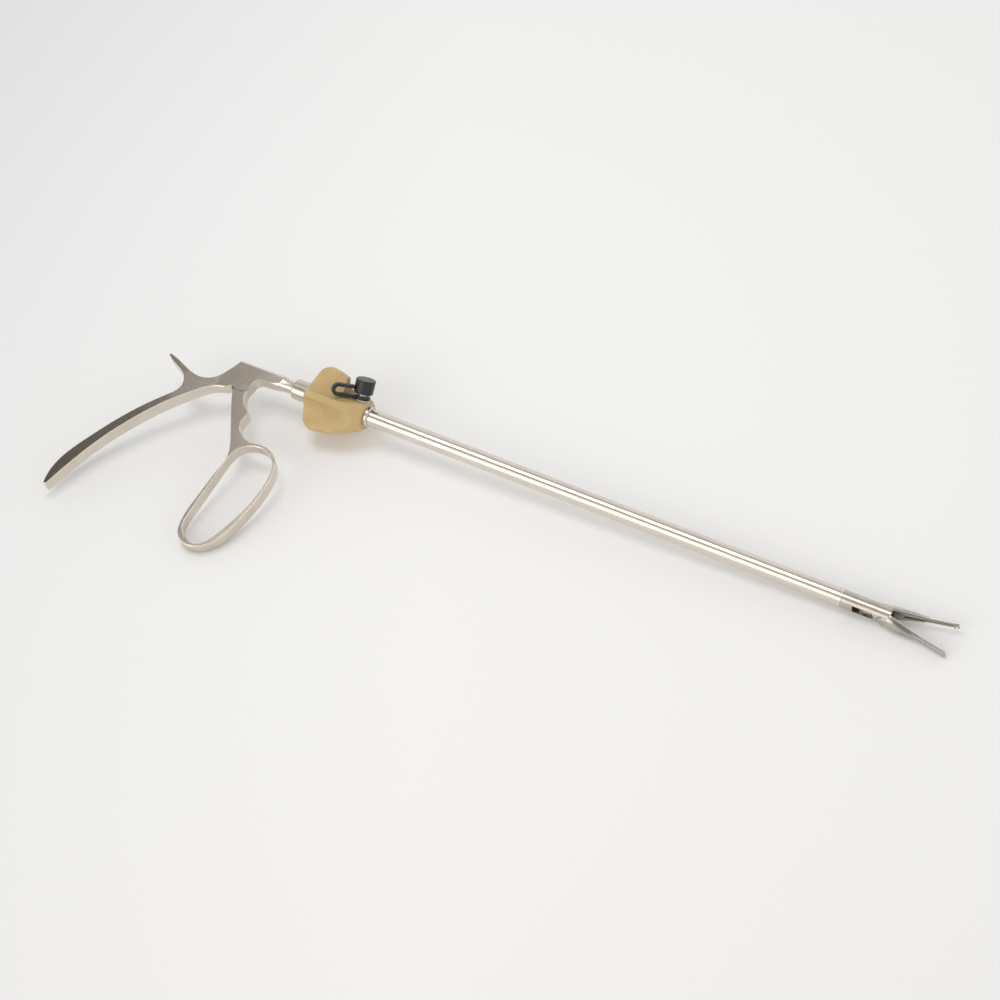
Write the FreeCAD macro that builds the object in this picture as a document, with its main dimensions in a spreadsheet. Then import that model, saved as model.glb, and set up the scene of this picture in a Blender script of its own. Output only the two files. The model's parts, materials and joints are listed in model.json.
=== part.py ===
import FreeCAD, Part
import Sketcher
import math
import os
from FreeCAD import Placement, Rotation, Vector

# Laparoscopic ligating clip applier, lying on its side with its jaws open.
# Millimetres. The parts are drawn with +X along the shaft towards the jaws, +Y towards the
# thumb spur and +Z out of the handle's face, and the origin on the shaft's axis where the
# tube leaves the ferrule. One placement then lays them all down on the table.

os.makedirs("parts", exist_ok=True)
doc = FreeCAD.newDocument("clip_applier")

SIZES = [
    # shaft
    ("tube_od", "10"), ("tube_wall", "0.6"), ("tube_back", "-12"), ("tube_front", "296"),
    ("seat_step", "0.25"), ("fork_step", "0.05"), ("joint_groove", "0.6"),
    ("tube_id", "=tube_od - 2 * tube_wall"), ("tube_rad", "=tube_od / 2"),
    ("tube_seat_rad", "=tube_rad - seat_step"), ("fork_rad", "=tube_rad - fork_step"),
    ("bore_rad", "=tube_id / 2"),
    ("guide_at", "150"), ("guide_length", "6"),
    # handle
    ("hub_half", "3.9"), ("arm_half", "3.4"), ("arm_root_half", "4.4"),
    ("pivot_x", "-81"), ("pivot_y", "-10"), ("pivot_pin_d", "4"), ("cheek_rad", "5.3"),
    ("hub_end", "-53"), ("neck_rad", "3.95"), ("edge_break", "0.45"),
    ("slot_half", "2.3"), ("slot_top", "2.1"), ("slot_back", "-87"), ("slot_front", "-74.9"),
    ("spring_bore_rad", "2.7"), ("spring_stop", "-58"), ("rod_bore_rad", "1.7"),
    # trigger
    ("lever_half", "3.7"), ("tongue_half", "2.2"), ("tongue_width", "6.8"),
    ("tongue_reach", "11.6"), ("tongue_root_rad", "3.9"), ("squeeze", "18"),
    ("stop_margin", "0.6"), ("seam_gap", "0.2"), ("run_gap", "0.05"),
    # drive
    ("ball_rad", "1.8"), ("rod_rad", "1.5"), ("rod_neck_rad", "1.1"), ("rod_front", "294"),
    ("seat_at", "-73.6"), ("seat_length", "1.2"), ("seat_rad", "2.5"),
    ("wire_rad", "0.3"), ("spring_rad", "2.1"), ("spring_turns", "8"),
    ("tip_back", "286"), ("tip_sleeve_rad", "2.3"), ("tip_sleeve_end", "298"),
    ("blade_half", "0.6"), ("blade_height", "3.2"),
    # bearing and knob core
    ("collar_back", "-51.7"), ("collar_front", "-41.3"), ("collar_rad", "6"),
    ("journal_rad", "3.5"), ("journal_front", "-25.5"), ("sleeve_rad", "4.5"),
    ("sleeve_front", "-28.4"), ("flange_rad", "5.6"), ("flange_thick", "0.7"),
    ("end_gap", "0.1"), ("ring_thick", "0.8"), ("ring_rad", "4.7"), ("groove_rad", "3.0"),
    ("core_rad", "6.5"), ("core_front", "-2.5"), ("chamber_rad", "5.1"),
    ("chamber_front", "-24.3"), ("seal_seat", "-20.5"), ("seal_pocket_rad", "3.3"),
    ("seal_section", "0.85"), ("gland_thick", "1.2"), ("flush_back", "-15"),
    ("ferrule_wall", "1.35"), ("ferrule_rad", "=tube_seat_rad + ferrule_wall"),
    # knob
    ("fin_rad", "19.75"), ("fin_at", "-30.5"), ("fin_count", "5"), ("knob_nose_rad", "7.9"),
    ("ridge_angle", "-24.3"), ("flute_rad", "10.9"), ("flute_at", "21.8"),
    ("well_rad", "10.9"), ("well_floor", "7.6"),
    # flush port and cap
    ("port_x", "-8.5"), ("port_bore_rad", "1.1"), ("port_shank_rad", "2.5"),
    ("port_flange_rad", "4.9"), ("port_flange_top", "8.6"), ("port_neck_rad", "2.6"),
    ("luer_rad", "3.3"), ("luer_from", "11.2"), ("luer_top", "17.6"), ("luer_bore_rad", "2.15"),
    ("luer_bore_from", "11.8"), ("lug_rad", "3.9"), ("lug_thick", "0.9"),
    ("cap_rad", "5.75"), ("cap_foot_rad", "5.55"), ("cap_from", "12"), ("cap_top", "20.1"),
    ("cap_cavity_rad", "4.05"), ("cap_roof", "18.2"), ("plug_rad", "2.05"), ("plug_from", "13.4"),
    ("strap_ring_rad", "4.6"), ("strap_ring_hole", "2.75"), ("strap_thick", "1.7"),
    ("strap_width", "2.6"), ("strap_turn", "46"), ("strap_reach", "17.8"), ("strap_gap", "0.35"),
    ("strap_rise", "5.6"),
    # jaws
    ("jaw_pivot_x", "317"), ("jaw_pin_rad", "1.3"), ("ear_rad", "7.2"), ("jaw_slot_half", "3.2"),
    ("jaw_slot_back", "303"), ("spigot_back", "290"), ("tip_bore_rad", "2.5"),
    ("jaw_root_rad", "4.95"), ("jaw_open", "10.6"), ("knuckle_rad", "4.6"), ("jaw_half", "2.15"),
    ("jaw_length", "42.2"), ("jaw_tip_out", "2.3"), ("cam_closed", "7.2"), ("drive_pin_rad", "1"),
    ("side_gap", "0.1"), ("channel_half", "1.05"), ("channel_depth", "0.6"),
]

sheet = doc.addObject("Spreadsheet::Sheet", "Sizes")
for row, (alias, text) in enumerate(SIZES, start=1):
    sheet.set("A%d" % row, alias)
    sheet.set("B%d" % row, text)
    sheet.setAlias("B%d" % row, alias)
doc.recompute()


def size(alias):
    return 0.0 if alias == "zero" else float(sheet.get(alias))


def derived(alias, value):
    """Add a value that the script works out to the sheet, so that sketches can follow it."""
    row = len(SIZES) + 1
    SIZES.append((alias, ""))
    sheet.set("A%d" % row, alias)
    sheet.set("B%d" % row, value)
    sheet.setAlias("B%d" % row, alias)
    sheet.recompute()
    return size(alias)


pivot = Vector(size("pivot_x"), size("pivot_y"), 0)
squeeze = math.radians(size("squeeze"))
half_squeeze = squeeze / 2
lift = -pivot.y
rod_travel = 2 * lift * math.tan(half_squeeze)
ball_x = pivot.x - rod_travel / 2
jaw_pivot = Vector(size("jaw_pivot_x"), 0, 0)
jaw_open = math.radians(size("jaw_open"))
cam_open = size("cam_closed") + rod_travel
drive_pin_x = jaw_pivot.x - cam_open
port_angle = math.radians(size("ridge_angle") + 360 / size("fin_count"))
port_axis = Vector(0, math.sin(port_angle), math.cos(port_angle))
FAR = 200


def polar(center, radius, degrees):
    a = math.radians(degrees)
    return Vector(center.x + radius * math.cos(a), center.y + radius * math.sin(a), 0)


def turned_by(point, center, radians):
    dx, dy = point.x - center.x, point.y - center.y
    c, s = math.cos(radians), math.sin(radians)
    return Vector(center.x + c * dx - s * dy, center.y + s * dx + c * dy, 0)


LOOP_FOOT = Vector(-52.5, -114.5, -size("lever_half"))


def resting_turn():
    """The turn that lays the knob's fin, the trigger's loop and the lower jaw's tip on a level table."""
    tip_reach = turned_by(Vector(size("jaw_length"), -size("jaw_tip_out"), 0), Vector(0, 0, 0), -jaw_open)
    jaw_tip = jaw_pivot + Vector(tip_reach.x, tip_reach.y, -size("jaw_half"))
    fin = Vector(size("fin_at"), 0, 0)
    up = Vector(0, 0, 1)
    for step in range(8):
        knob_foot = fin - Vector(0, up.y, up.z).normalize() * size("fin_rad")
        up = (knob_foot - LOOP_FOOT).cross(jaw_tip - LOOP_FOOT).normalize()
        if up.z < 0:
            up = up * -1
    return Rotation(up, Vector(0, 0, 1))


on_table = Placement(Vector(0, 0, 0), resting_turn())
along_z = Placement(Vector(0, 0, 0), Rotation(Vector(1, 0, 0), Vector(0, 0, 1)))
nodes = []


def keep(piece, label, local=Placement()):
    """Name a finished sub-part and lay it on the table with the rest."""
    piece.Label = label
    piece.Placement = on_table.multiply(local)
    nodes.append(piece)
    return piece


def solid_piece(label, shape):
    piece = doc.addObject("Part::Feature", label)
    piece.Shape = shape.removeSplitter()
    return keep(piece, label)


def pin_corner(sketch, line, coordinate, axis_name, axis_line):
    if coordinate == "zero":
        sketch.addConstraint(Sketcher.Constraint("PointOnObject", line, 1, axis_line))
        return
    index = sketch.addConstraint(
        Sketcher.Constraint(axis_name, -1, 1, line, 1, size(coordinate)))
    sketch.setExpression("Constraints[%d]" % index, "Sizes.%s" % coordinate)


def turned_body(label, profile):
    """A lathe-turned body about its own X axis. profile is its corners as pairs of sheet names."""
    body = doc.addObject("PartDesign::Body", label + "_body")
    sketch = body.newObject("Sketcher::SketchObject", label + "_profile")
    plane = [f for f in body.Origin.OriginFeatures if f.Role == "XY_Plane"][0]
    sketch.AttachmentSupport = [(plane, "")]
    sketch.MapMode = "FlatFace"
    corners = [Vector(size(x), size(r), 0) for x, r in profile]
    count = len(profile)
    for i in range(count):
        sketch.addGeometry(Part.LineSegment(corners[i], corners[(i + 1) % count]), False)
    for i in range(count):
        sketch.addConstraint(Sketcher.Constraint("Coincident", i, 2, (i + 1) % count, 1))
    for i, (x, r) in enumerate(profile):
        pin_corner(sketch, i, x, "DistanceX", -2)
        pin_corner(sketch, i, r, "DistanceY", -1)
    turn = body.newObject("PartDesign::Revolution", label + "_turn")
    turn.Profile = sketch
    turn.ReferenceAxis = (sketch, ["H_Axis"])
    turn.Angle = 360
    doc.recompute()
    return body


def turned(label, profile, local=Placement()):
    return keep(turned_body(label, profile), label, local)


def cut(base, tools, label):
    """Take the named tool objects out of a base object, one Part::Cut after another."""
    result = base
    for i, tool in enumerate(tools):
        step = doc.addObject("Part::Cut", "%s_cut_%d" % (label, i + 1))
        step.Base, step.Tool = result, tool
        result = step
    doc.recompute()
    return keep(result, label)


def drill(label, radius_name, start, direction, length):
    tool = doc.addObject("Part::Cylinder", label)
    tool.setExpression("Radius", "Sizes.%s" % radius_name)
    tool.Height = length
    tool.Placement = Placement(start, Rotation(Vector(0, 0, 1), direction))
    return tool


def wire(edges):
    return Part.Wire(Part.__sortEdges__(edges))


def spline(points, closed=False):
    curve = Part.BSplineCurve()
    curve.interpolate([Vector(p[0], p[1], 0) for p in points], PeriodicFlag=closed)
    return curve.toShape()


def line(a, b):
    return Part.LineSegment(Vector(a[0], a[1], 0), Vector(b[0], b[1], 0)).toShape()


def arc(a, b, c):
    return Part.Arc(Vector(a[0], a[1], 0), Vector(b[0], b[1], 0), Vector(c[0], c[1], 0)).toShape()


def plate(outline, low, high):
    face = Part.Face(outline)
    face.translate(Vector(0, 0, low))
    return face.extrude(Vector(0, 0, high - low))


def polygon(points):
    closed = [Vector(*p) for p in points]
    return Part.makePolygon(closed + [closed[0]])


def lathe(points):
    """A solid turned about X from (x, radius) points. Its end points are joined to the axis."""
    ring = [(points[0][0], 0)] + list(points) + [(points[-1][0], 0)]
    return Part.Face(polygon([(x, r, 0) for x, r in ring])).revolve(
        Vector(0, 0, 0), Vector(1, 0, 0), 360)


def bar(radius, start, end):
    return Part.makeCylinder(radius, end - start, Vector(start, 0, 0), Vector(1, 0, 0))


# Handle: one forging that is palm arm, thumb spur, hub and neck.
cheek = size("cheek_rad")
cheek_end = polar(pivot, cheek, -100)
notch_top = Vector(-86.6, -13.9, 0)
neck_low = [(-75.4, -7.6), (-73.2, -4.9), (-69.6, -3.9)]
hub_top = [(-89.6, 2.9), (-60, 3.95)]
neck_end = size("hub_end")


def handle_outline():
    saddle = [hub_top[0], (-93.6, -5.2), (-99.4, -13), (-107, -15.9), (-115.5, -14.6), (-131.3, -9.3)]
    back = [(-131.9, -11), (-124.2, -15.2), (-116.2, -20.4), (-114.6, -26.5), (-119, -33.9),
            (-134.4, -53.9), (-149.1, -79.3), (-156.4, -97.5), (-156.4, -111.6)]
    palm = [(-153.4, -112.2), (-147.7, -94.9), (-142.7, -82.1), (-135.1, -66.5), (-126.5, -52.2),
            (-117.1, -39.2), (-106.9, -27.8), (-97.1, -19.2), (-90.2, -16.8)]
    edges = [
        line(hub_top[1], hub_top[0]), spline(saddle), arc(saddle[-1], (-132.4, -9.9), back[0]),
        spline(back), arc(back[-1], (-155.2, -113.2), palm[0]), spline(palm),
        line(palm[-1], notch_top), line(notch_top, cheek_end),
        arc(cheek_end, polar(pivot, cheek, -45), polar(pivot, cheek, 0)),
        line(polar(pivot, cheek, 0), neck_low[0]), arc(*neck_low),
        line(neck_low[-1], (neck_end, -size("neck_rad"))),
        line((neck_end, -size("neck_rad")), (neck_end, size("neck_rad"))),
        line((neck_end, size("neck_rad")), hub_top[1])]
    return wire(edges)


hub_half, arm_half, arm_root = size("hub_half"), size("arm_half"), size("arm_root_half")
blank = plate(handle_outline(), -arm_root, arm_root)
widths = [(-50, hub_half), (-95, hub_half), (-117, arm_root), (-128, arm_root), (-160, arm_half)]
plan = [(x, -FAR, z) for x, z in widths] + [(x, -FAR, -z) for x, z in reversed(widths)]
blank = blank.common(Part.Face(polygon(plan)).extrude(Vector(0, 2 * FAR, 0)))
neck = size("neck_rad")
turning = lathe([(-160, FAR), (-77, FAR), (-76, 12), (-70, 6.6), (-64, 5.2), (-57, neck), (neck_end, neck)])
blank = blank.common(turning)
long_edges = [e for e in blank.Edges if e.BoundBox.XMax < -89 and e.Length > 12
              and abs(e.BoundBox.ZMax) > 3 and e.BoundBox.ZMin * e.BoundBox.ZMax > 0]
blank = blank.makeChamfer(size("edge_break"), long_edges)
journal, groove = size("journal_rad"), size("groove_rad")
ring_back = size("sleeve_front") + size("end_gap")
ring_front = ring_back + size("ring_thick")
handle = blank.fuse([bar(neck, neck_end, size("collar_front")),
                     bar(journal, size("collar_front"), size("journal_front"))])
groove_cut = bar(journal + 1, ring_back, ring_front).cut(bar(groove, ring_back, ring_front))
top_facet = [(0, hub_half - 2.2, hub_half + 0.1), (0, hub_half + 2, hub_half + 0.1), (0, hub_half + 2, hub_half - 4.1)]
for sign in (1, -1):
    facet = Part.Face(polygon([(-100, y, sign * z) for x, y, z in top_facet]))
    handle = handle.cut(facet.extrude(Vector(40, 0, 0)))
slot_back, slot_top = size("slot_back"), size("slot_top")
slot_shape = polygon([(slot_back, slot_top, 0), (size("slot_front"), slot_top, 0),
                      (size("slot_front"), -2, 0), (-76.8, -6, 0), (-76.8, -FAR, 0), (slot_back, -FAR, 0)])
slot_half = size("slot_half")
handle = handle.cut([
    groove_cut,
    plate(slot_shape, -slot_half, slot_half),
    bar(size("spring_bore_rad"), size("slot_front") - 1, size("spring_stop")),
    bar(size("rod_bore_rad"), size("spring_stop") - 1, size("journal_front") + 1),
    Part.makeCylinder(size("pivot_pin_d") / 2, 4 * hub_half, pivot - Vector(0, 0, 2 * hub_half))])
solid_piece("handle_body", handle)

derived("pin_rad", "=pivot_pin_d / 2")
derived("pin_low", "=-hub_half")
derived("pin_chamfer_rad", "=pin_rad - 0.2")
derived("pin_low_in", "=pin_low + 0.2")
derived("pin_high_in", "=hub_half - 0.2")
turned("trigger_pivot_pin",
       [("pin_low", "zero"), ("pin_low", "pin_chamfer_rad"), ("pin_low_in", "pin_rad"),
        ("pin_high_in", "pin_rad"), ("hub_half", "pin_chamfer_rad"), ("hub_half", "zero")],
       Placement(pivot, Rotation(Vector(1, 0, 0), Vector(0, 0, 1))))

# Trigger: a flat lever with two finger rests, a closed finger loop and a slotted tongue.
stop_turn = squeeze + math.radians(size("stop_margin"))
shoulder = cheek + size("seam_gap")
shoulder_end = turned_by(polar(pivot, shoulder, -100), pivot, stop_turn)
shoulder_back = turned_by(notch_top + Vector(0, -size("seam_gap"), 0), pivot, stop_turn)
shoulder_front = polar(pivot, shoulder, -22)
lever_edge = [shoulder_front, (-75.9, -15.4), (-73.6, -20.8), (-69.2, -24.7), (-66.9, -27.2), (-67.6, -31.4),
              (-67.2, -35.4), (-63.6, -40), (-56.2, -42.6), (-47, -41.8), (-37, -46.4), (-31.9, -56),
              (-31.1, -70), (-33.8, -88), (-41.5, -107.8), LOOP_FOOT, (-62.6, -110.8), (-65.9, -102),
              (-65.5, -84), (-63.9, -64), (-63.5, -56), (-66.2, -48.4), (-72.7, -37.3), (-79, -26.7),
              shoulder_back]
loop_inside = [(-62.6, -69), (-61.9, -56), (-59.2, -48.9), (-54.2, -45.2), (-48.3, -43.9), (-42, -45.1),
               (-37, -48.6), (-34.2, -54.6), (-33.4, -67.5), (-34.8, -79), (-37.6, -90.1), (-40.7, -98.8),
               (-44.9, -107.8), (-48.3, -111.2), (-53, -112.3), (-59.2, -109.6), (-62.8, -105), (-63.7, -96),
               (-63.2, -82)]
lever_outline = wire([
    spline(lever_edge), line(shoulder_back, shoulder_end),
    arc(shoulder_end, polar(pivot, shoulder, -40), shoulder_front)])
lever_half = size("lever_half")
lever = plate(lever_outline, -lever_half, lever_half)
lever = lever.cut(plate(Part.Wire(spline(loop_inside, True)), -lever_half - 1, lever_half + 1))
lever_edges = [e for e in lever.Edges if e.Length > 5.5 and abs(abs(e.BoundBox.ZMax) - lever_half) < 0.01
               and e.BoundBox.ZMax - e.BoundBox.ZMin < 0.01]
lever = lever.makeChamfer(size("edge_break"), lever_edges)

tongue_half, tongue_wide = size("tongue_half"), size("tongue_width") / 2
root, reach = size("tongue_root_rad"), size("tongue_reach")
notch_half = size("ball_rad") + size("run_gap")
notch_floor = lift - size("ball_rad") - 0.25
upright = Placement(pivot, Rotation(Vector(0, 0, 1), math.degrees(half_squeeze)))
tongue = plate(polygon([(-tongue_wide, 0, 0), (tongue_wide, 0, 0), (tongue_wide, reach, 0),
                        (-tongue_wide, reach, 0)]), -tongue_half, tongue_half)
tongue_front = root * 0.6
tongue = tongue.fuse([Part.makeCylinder(root, 2 * tongue_half, Vector(0, 0, -tongue_half)),
                      plate(polygon([(-root, 0, 0), (tongue_front, 0, 0), (tongue_front, -7, 0),
                                     (-root, -7, 0)]), -tongue_half, tongue_half)])
tongue = tongue.cut([
    plate(polygon([(-notch_half, notch_floor, 0), (notch_half, notch_floor, 0),
                   (notch_half, reach + 1, 0), (-notch_half, reach + 1, 0)]), -5, 5),
    plate(polygon([(0, notch_floor, 0), (5, notch_floor, 0), (5, reach + 1, 0), (0, reach + 1, 0)]),
          -size("rod_neck_rad") - 0.2, size("rod_neck_rad") + 0.2)])
tongue.Placement = upright
pin_hole = Part.makeCylinder(size("pivot_pin_d") / 2 + size("run_gap"), 20, pivot - Vector(0, 0, 10))
solid_piece("trigger_lever", lever.fuse(tongue).cut(pin_hole))

# Neck fittings: the collar, the knob's bearing sleeve and the ring that holds it.
derived("neck_edge", "=neck_rad")
derived("collar_back_in", "=collar_back + 0.8")
derived("collar_front_in", "=collar_front - 0.3")
derived("collar_back_rad", "=collar_rad - 0.8")
derived("collar_front_rad", "=collar_rad - 0.3")
turned("collar", [("collar_back", "neck_edge"), ("collar_back", "collar_back_rad"),
                  ("collar_back_in", "collar_rad"), ("collar_front_in", "collar_rad"),
                  ("collar_front", "collar_front_rad"), ("collar_front", "neck_edge")])
derived("flange_back", "=collar_front + end_gap")
derived("knob_back", "=flange_back + flange_thick")
derived("sleeve_bore", "=journal_rad + run_gap")
turned("bearing_sleeve", [("flange_back", "sleeve_bore"), ("flange_back", "flange_rad"),
                          ("knob_back", "flange_rad"), ("knob_back", "sleeve_rad"),
                          ("sleeve_front", "sleeve_rad"), ("sleeve_front", "sleeve_bore")])
ring = bar(size("ring_rad"), ring_back, ring_front).cut(bar(groove, ring_back, ring_front))
ring_mouth = Part.makeBox(5, 6, 3.6, Vector(ring_back - 1, -6, -1.8))
solid_piece("retaining_ring", ring.cut(ring_mouth))

# Knob core: the steel sleeve that carries knob, port, tube and seal.
derived("gland_front", "=seal_seat - 2 * seal_section")
derived("gland_back", "=gland_front - gland_thick")
core = turned_body("knob_core", [
    ("knob_back", "sleeve_rad"), ("knob_back", "core_rad"), ("core_front", "core_rad"),
    ("core_front", "tube_seat_rad"), ("tube_back", "tube_seat_rad"), ("tube_back", "bore_rad"),
    ("flush_back", "bore_rad"), ("flush_back", "rod_bore_rad"), ("seal_seat", "rod_bore_rad"),
    ("seal_seat", "seal_pocket_rad"), ("chamber_front", "seal_pocket_rad"),
    ("chamber_front", "chamber_rad"), ("sleeve_front", "chamber_rad"),
    ("sleeve_front", "sleeve_rad")])
port_foot = Vector(size("port_x"), 0, 0)
cut(core, [drill("port_hole_in_core", "port_shank_rad", port_foot, port_axis, 10)], "knob_core")
turned("gland_washer", [("gland_back", "rod_bore_rad"), ("gland_back", "seal_pocket_rad"),
                        ("gland_front", "seal_pocket_rad"), ("gland_front", "rod_bore_rad")])
derived("seal_round", "=0.5 * seal_section")
derived("seal_back_in", "=gland_front + seal_round")
derived("seal_front_in", "=seal_seat - seal_round")
derived("seal_low", "=seal_pocket_rad - 2 * seal_section")
derived("seal_low_in", "=seal_low + seal_round")
derived("seal_high_in", "=seal_pocket_rad - seal_round")
turned("rod_seal", [("seal_back_in", "seal_low"), ("gland_front", "seal_low_in"),
                    ("gland_front", "seal_high_in"), ("seal_back_in", "seal_pocket_rad"),
                    ("seal_front_in", "seal_pocket_rad"), ("seal_seat", "seal_high_in"),
                    ("seal_seat", "seal_low_in"), ("seal_front_in", "seal_low")])
derived("ferrule_front_rad", "=ferrule_rad - 0.6")
derived("ferrule_back_rad", "=core_rad")
derived("ferrule_lip", "-0.6")
turned("front_ferrule", [("core_front", "tube_seat_rad"), ("core_front", "ferrule_rad"),
                         ("ferrule_lip", "ferrule_rad"), ("zero", "ferrule_front_rad"),
                         ("zero", "tube_seat_rad")])

# Rotation knob: a moulded body with five fins, scooped out round the flush port.
fin_rad, fin_at = size("fin_rad"), size("fin_at")
knob_back, nose = size("knob_back"), size("core_front")
nose_rad = size("knob_nose_rad")
knob_edges = [
    line((knob_back, 0), (knob_back, 7)),
    line((knob_back, 7), (knob_back + 2.2, 13.4)),
    arc((knob_back + 2.2, 13.4), (knob_back + 4.9, fin_rad - 1.9), (fin_at, fin_rad)),
    arc((fin_at, fin_rad), (-17, 16.5), (nose, nose_rad)),
    line((nose, nose_rad), (nose, 0)), line((nose, 0), (knob_back, 0))]
knob = Part.Face(wire(knob_edges)).revolve(Vector(0, 0, 0), Vector(1, 0, 0), 360)
fins = int(size("fin_count"))
for i in range(fins):
    a = math.radians(size("ridge_angle") + (i + 0.5) * 360 / fins)
    center = Vector(knob_back - 1, size("flute_at") * math.sin(a), size("flute_at") * math.cos(a))
    knob = knob.cut(Part.makeCylinder(size("flute_rad"), 60, center, Vector(1, 0, 0)))
well_start = port_foot + port_axis * size("well_floor")
well = Part.makeCylinder(size("well_rad"), 30, well_start, port_axis)
core_bore = bar(size("core_rad"), knob_back - 1, nose + 1)
shank_hole = Part.makeCylinder(size("port_shank_rad"), 30, port_foot, port_axis)
knob = knob.cut([well, core_bore, shank_hole])
solid_piece("rotation_knob", knob)

# Shaft: the outer tube, a guide for the rod and the forked tip.
tube = turned_body("outer_tube", [
    ("tube_back", "bore_rad"), ("tube_back", "tube_seat_rad"), ("zero", "tube_seat_rad"),
    ("zero", "tube_rad"), ("tube_front", "tube_rad"), ("tube_front", "bore_rad")])
cut(tube, [drill("flush_hole", "port_bore_rad", port_foot, port_axis, 10)], "outer_tube")
derived("guide_front", "=guide_at + guide_length")
derived("guide_bore", "=rod_rad + run_gap")
turned("rod_guide", [("guide_at", "guide_bore"), ("guide_at", "bore_rad"),
                     ("guide_front", "bore_rad"), ("guide_front", "guide_bore")])
fork_rad, tip_bore = size("fork_rad"), size("tip_bore_rad")
ear, slot = size("ear_rad"), size("jaw_slot_half")
groove_front = size("tube_front") + size("joint_groove")
tip = bar(fork_rad, groove_front, jaw_pivot.x + ear)
tip = tip.fuse([bar(size("tube_seat_rad"), size("tube_front"), groove_front),
                bar(size("bore_rad"), size("spigot_back"), size("tube_front"))])
ear_outline = Part.makeCylinder(ear, 30, jaw_pivot - Vector(0, 0, 15))
behind_pivot = Part.makeBox(60, 30, 30, Vector(jaw_pivot.x - 60, -15, -15))
tip = tip.common(ear_outline.fuse(behind_pivot))
tip = tip.cut([
    Part.makeBox(60, 30, 2 * slot, Vector(size("jaw_slot_back"), -15, -slot)),
    bar(tip_bore, size("spigot_back") - 1, size("jaw_slot_back") + 1),
    Part.makeCylinder(size("jaw_pin_rad"), 30, jaw_pivot - Vector(0, 0, 15))])
solid_piece("tip_fork", tip)
jaw_pin = Part.makeCylinder(size("jaw_pin_rad"), 30, jaw_pivot - Vector(0, 0, 15))
solid_piece("jaw_pivot_pin", jaw_pin.common(bar(fork_rad, jaw_pivot.x - 5, jaw_pivot.x + 5)))


# Jaws: drawn closed with the pivot at zero, upper jaw first, then opened about the pin.
def jaw_shape():
    length, out, half = size("jaw_length"), size("jaw_tip_out"), size("jaw_half")
    root_rad, gap = size("jaw_root_rad"), size("side_gap")
    knuckle = size("knuckle_rad")
    inside = slot - gap
    root_at = ear + 0.15
    step_x, near, far = 23.5, 0.2, 0.8
    side = wire([
        line((0, near), (14, near)), line((14, near), (step_x, near + 0.15)),
        line((step_x, near + 0.15), (step_x + 0.6, far)),
        line((step_x + 0.6, far), (length - 3.3, far + 0.1)),
        arc((length - 3.3, far + 0.1), (length - 2.7, 0.65), (length - 2.6, 0.12)),
        line((length - 2.6, 0.12), (length - 1.9, 0.12)),
        arc((length - 1.9, 0.12), (length - 1.35, 1.25), (length - 0.8, 0.5)),
        line((length - 0.8, 0.5), (length - 0.35, 0.5)),
        arc((length - 0.35, 0.5), (length, 1.3), (length - 0.9, out)),
        spline([(length - 0.9, out), (29, 2.15), (23.5, 2.45), (18.8, 3.1), (13.4, 4.1), (9, 4.8), (0, root_rad)]),
        line((0, root_rad), (0, near))])
    body = plate(side, -root_rad, root_rad)
    widths = [(0, root_rad), (8.4, root_rad), (14, 3.5), (20, 2.6), (26, half), (length + 1, half)]
    plan = [(x, -10, z) for x, z in widths] + [(x, -10, -z) for x, z in reversed(widths)]
    body = body.common(Part.Face(polygon(plan)).extrude(Vector(0, 20, 0)))
    body = body.common(lathe([(-20, root_rad), (10, root_rad), (13.4, 4.45), (18.8, 3.75),
                              (23.5, 3.1), (29, 2.85), (length + 1, 2.95)]))
    body = body.cut(Part.makeCylinder(root_at, 20, Vector(0, 0, -10)))
    web = plate(wire([line((0, near), (12, near)), line((12, near), (12, 3.6)), line((12, 3.6), (0, 4.8)),
                      line((0, 4.8), (0, near))]), -inside, inside)
    web = web.cut(Part.makeCylinder(knuckle + 0.2, 20, Vector(0, 0, -10)))
    knuckle_disc = Part.makeCylinder(knuckle, inside - gap / 2, Vector(0, 0, gap / 2))
    cam = [Vector(-size("cam_closed"), 0, 0),
           turned_by(Vector(-(size("cam_closed") + rod_travel / 2), 0, 0), Vector(0, 0, 0), -jaw_open / 2),
           turned_by(Vector(-cam_open, 0, 0), Vector(0, 0, 0), -jaw_open)]
    blade = size("blade_half") + gap
    tail = plate(cam_slot(cam, 2.3), blade, inside).fuse(
        plate(polygon([(0, -3.2, 0), (0, 4.2, 0), (-8.6, 3.1, 0), (-7.4, -2.3, 0)]), blade, inside))
    link = plate(polygon([(0, near, 0), (7, near, 0), (7, 4.4, 0), (0, 4.4, 0)]), gap / 2, inside)
    jaw = body.fuse([web, knuckle_disc, tail, link])
    jaw = jaw.common(bar(root_rad, -20, length + 5))
    channel = size("channel_half")
    return jaw.removeSplitter().cut([
        plate(cam_slot(cam, size("drive_pin_rad") + size("run_gap")), -10, 10),
        Part.makeCylinder(size("jaw_pin_rad") + size("run_gap"), 20, Vector(0, 0, -10)),
        Part.makeBox(length - 15.5, size("channel_depth") + far, 2 * channel, Vector(13, 0, -channel))])


def cam_slot(path, radius):
    """The outline of a slot of this radius along the arc through three points."""
    curve = Part.Arc(*path).toShape().Curve
    center, rad = curve.Center, curve.Radius
    outer = [center + (p - center) * ((rad + radius) / rad) for p in path]
    inner = [center + (p - center) * ((rad - radius) / rad) for p in path]
    ends = []
    for point, neighbour in ((path[0], path[1]), (path[2], path[1])):
        across = (point - center).normalize()
        away = Vector(-across.y, across.x, 0)
        if away.dot(point - neighbour) < 0:
            away = away * -1
        ends.append(point + away * radius)
    return wire([Part.Arc(*outer).toShape(), Part.Arc(*inner).toShape(),
                 Part.Arc(outer[0], ends[0], inner[0]).toShape(),
                 Part.Arc(outer[2], ends[1], inner[2]).toShape()])


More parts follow.
